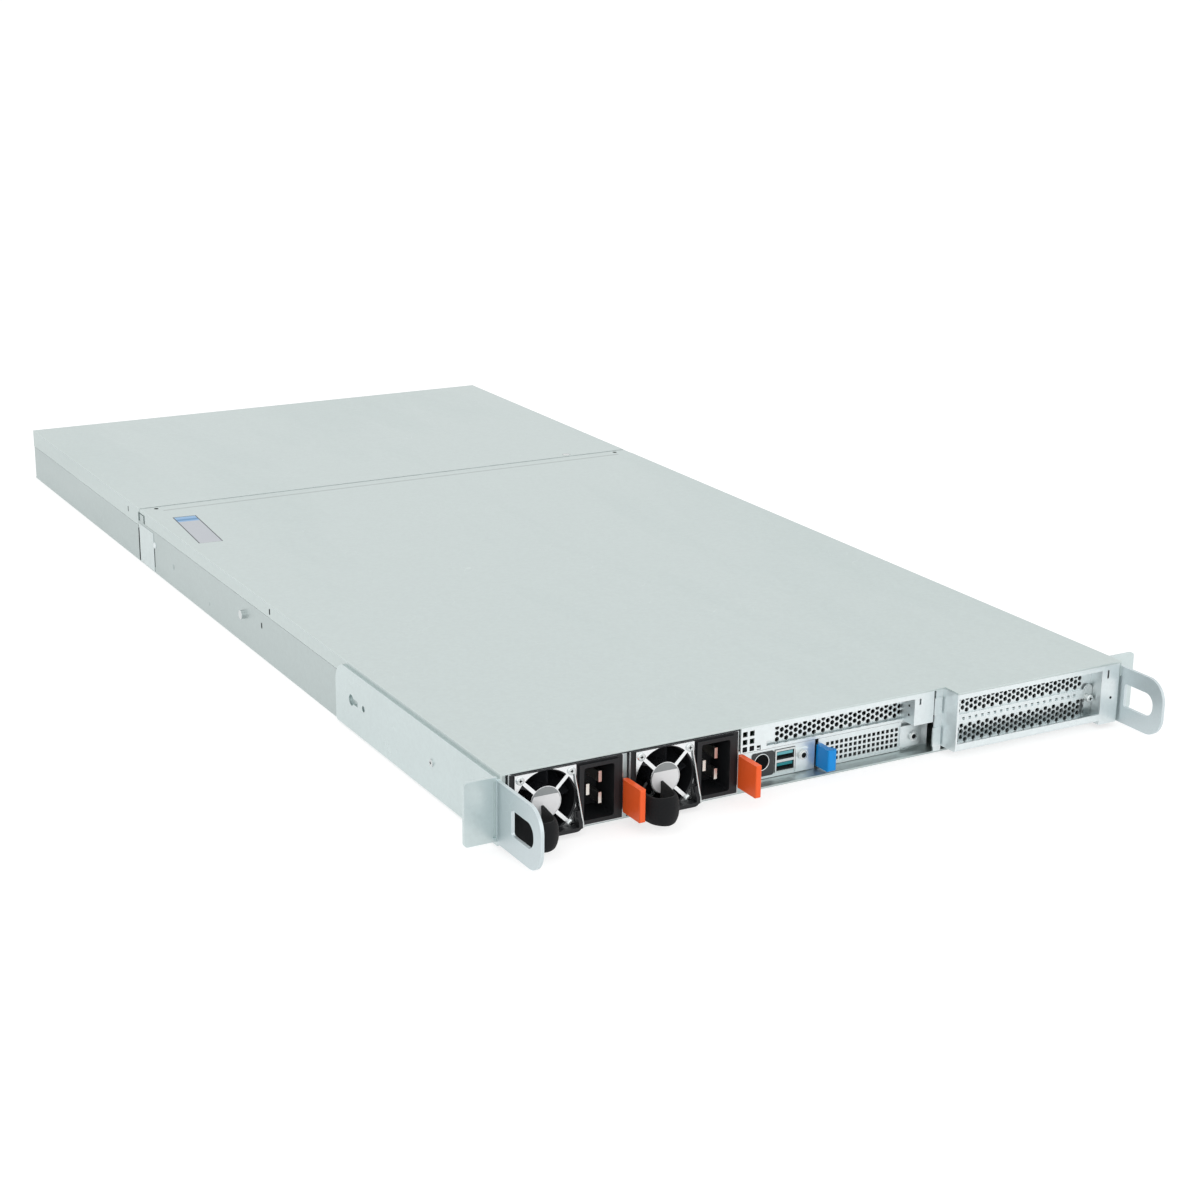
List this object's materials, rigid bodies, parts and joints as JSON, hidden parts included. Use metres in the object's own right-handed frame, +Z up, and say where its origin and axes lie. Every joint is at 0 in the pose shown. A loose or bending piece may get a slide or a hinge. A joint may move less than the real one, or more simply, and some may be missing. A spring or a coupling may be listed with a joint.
{
  "type": "1u rack server",
  "caption": "Slim rack-mount server in galvanised sheet, with front ears and D handles, slide-out power supplies, control module, card slots and two-piece lid.",
  "frame": {"origin": "centre of the bounding box, on the underside of the floor", "axes": "+Z up, +Y from the handles to the exhaust end, +X to the right seen from the handles"},
  "size_m": [0.4826, 0.9772, 0.0435],
  "materials": {
    "galvanised": "galvanised sheet, satin with fine spangle",
    "bright_steel": "bright zinc plating",
    "psu_metal": "satin plated sheet",
    "black_moulding": "fine moulded texture",
    "orange_moulding": "moulded, half gloss",
    "blue_moulding": "moulded, half gloss",
    "circuit_board": "solder mask",
    "bare_aluminium": "extruded or cast, bare",
    "copper_alloy": "plated contact metal"
  },
  "bodies": {
    "chassis": {"front_tray": "galvanised", "rear_tray": "galvanised", "splice_plates": "galvanised", "cross_rail": "galvanised", "rear_panel": "galvanised", "left_ear": "galvanised", "right_ear": "galvanised", "left_handle": "galvanised", "right_handle": "galvanised", "psu_bay_walls": "galvanised", "front_frame": "galvanised", "vent_panel": "galvanised", "slot_cage": "galvanised", "slot_cover_lower": "galvanised", "slot_cover_upper": "galvanised", "fan_cage": "galvanised", "board_posts": "galvanised", "rail_studs": "bright_steel", "slot_retainer": "bright_steel", "fan_frames": "black_moulding", "memory_sockets": "black_moulding", "power_board": "circuit_board", "motherboard": "circuit_board", "memory_modules": "circuit_board", "riser_board": "circuit_board", "backplane": "circuit_board", "heatsinks": "bare_aluminium", "drives": "bare_aluminium", "bus_bars": "copper_alloy"},
    "front_cover": {"front_cover": "galvanised"},
    "rear_cover": {"rear_cover": "galvanised"},
    "cover_screw": {"cover_screw": "bright_steel"},
    "control_module": {"io_bracket": "galvanised", "io_board": "circuit_board", "usb_block": "bright_steel"},
    "power_button": {"power_button": "black_moulding"},
    "io_screw": {"io_screw": "bright_steel"},
    "adapter_blank": {"adapter_blank": "galvanised", "pull_tab": "blue_moulding"},
    "blank_screw": {"blank_screw": "bright_steel"},
    "psu_1": {"psu_1_case": "psu_metal", "psu_1_front": "black_moulding", "psu_1_blades": "copper_alloy", "psu_1_guard": "bright_steel", "psu_1_strap": "black_moulding"},
    "psu_1_rotor": {"psu_1_rotor": "black_moulding"},
    "psu_1_lever": {"psu_1_lever": "orange_moulding"},
    "psu_2": {"psu_2_case": "psu_metal", "psu_2_front": "black_moulding", "psu_2_blades": "copper_alloy", "psu_2_guard": "bright_steel", "psu_2_strap": "black_moulding"},
    "psu_2_rotor": {"psu_2_rotor": "black_moulding"},
    "psu_2_lever": {"psu_2_lever": "orange_moulding"},
    "fan_rotor_1": {"fan_rotor_1": "black_moulding"},
    "fan_rotor_2": {"fan_rotor_2": "black_moulding"},
    "fan_rotor_3": {"fan_rotor_3": "black_moulding"},
    "fan_rotor_4": {"fan_rotor_4": "black_moulding"},
    "fan_rotor_5": {"fan_rotor_5": "black_moulding"},
    "fan_rotor_6": {"fan_rotor_6": "black_moulding"}
  },
  "joints": [
    {"name": "front_cover_lift", "type": "slide", "parent": "chassis", "child": "front_cover", "axis": [0, 0, 1], "range_m": [0, 0.12]},
    {"name": "rear_cover_lift", "type": "slide", "parent": "chassis", "child": "rear_cover", "axis": [0, 0, 1], "range_m": [0, 0.12]},
    {"name": "cover_screw_turn", "type": "hinge", "parent": "rear_cover", "child": "cover_screw", "pos_m": [0.165, 0.1946, 0.041], "axis": [0, 0, 1], "continuous": true},
    {"name": "control_module_slide", "type": "slide", "parent": "chassis", "child": "control_module", "axis": [0, -1, 0], "range_m": [0, 0.12]},
    {"name": "power_button_press", "type": "slide", "parent": "control_module", "child": "power_button", "axis": [0, 1, 0], "range_m": [0, 0.0015], "stiffness_N_per_m": 300},
    {"name": "io_screw_turn", "type": "hinge", "parent": "control_module", "child": "io_screw", "pos_m": [-0.0088, -0.4224, 0.0128], "axis": [0, 1, 0], "continuous": true},
    {"name": "adapter_blank_slide", "type": "slide", "parent": "chassis", "child": "adapter_blank", "axis": [0, -1, 0], "range_m": [0, 0.1]},
    {"name": "blank_screw_turn", "type": "hinge", "parent": "adapter_blank", "child": "blank_screw", "pos_m": [0.0736, -0.4224, 0.0102], "axis": [0, 1, 0], "continuous": true},
    {"name": "psu_1_slide", "type": "slide", "parent": "chassis", "child": "psu_1", "axis": [0, -1, 0], "range_m": [0, 0.19]},
    {"name": "psu_1_fan_spin", "type": "hinge", "parent": "psu_1", "child": "psu_1_rotor", "pos_m": [-0.1908, -0.4234, 0.0216], "axis": [0, 1, 0], "continuous": true},
    {"name": "psu_1_lever_press", "type": "hinge", "parent": "psu_1", "child": "psu_1_lever", "pos_m": [-0.1394, -0.4382, 0.0164], "axis": [0, 0, 1], "range_deg": [-8, 0], "stiffness_Nm_per_rad": 0.15},
    {"name": "psu_2_slide", "type": "slide", "parent": "chassis", "child": "psu_2", "axis": [0, -1, 0], "range_m": [0, 0.19]},
    {"name": "psu_2_fan_spin", "type": "hinge", "parent": "psu_2", "child": "psu_2_rotor", "pos_m": [-0.113, -0.4234, 0.0216], "axis": [0, 1, 0], "continuous": true},
    {"name": "psu_2_lever_press", "type": "hinge", "parent": "psu_2", "child": "psu_2_lever", "pos_m": [-0.0616, -0.4382, 0.0164], "axis": [0, 0, 1], "range_deg": [-8, 0], "stiffness_Nm_per_rad": 0.15},
    {"name": "fan_1_spin", "type": "hinge", "parent": "chassis", "child": "fan_rotor_1", "pos_m": [-0.027, 0.1286, 0.0215], "axis": [0, 1, 0], "continuous": true},
    {"name": "fan_2_spin", "type": "hinge", "parent": "chassis", "child": "fan_rotor_2", "pos_m": [0.0175, 0.1286, 0.0215], "axis": [0, 1, 0], "continuous": true},
    {"name": "fan_3_spin", "type": "hinge", "parent": "chassis", "child": "fan_rotor_3", "pos_m": [0.062, 0.1286, 0.0215], "axis": [0, 1, 0], "continuous": true},
    {"name": "fan_4_spin", "type": "hinge", "parent": "chassis", "child": "fan_rotor_4", "pos_m": [0.1065, 0.1286, 0.0215], "axis": [0, 1, 0], "continuous": true},
    {"name": "fan_5_spin", "type": "hinge", "parent": "chassis", "child": "fan_rotor_5", "pos_m": [0.151, 0.1286, 0.0215], "axis": [0, 1, 0], "continuous": true},
    {"name": "fan_6_spin", "type": "hinge", "parent": "chassis", "child": "fan_rotor_6", "pos_m": [0.1955, 0.1286, 0.0215], "axis": [0, 1, 0], "continuous": true}
  ]
}
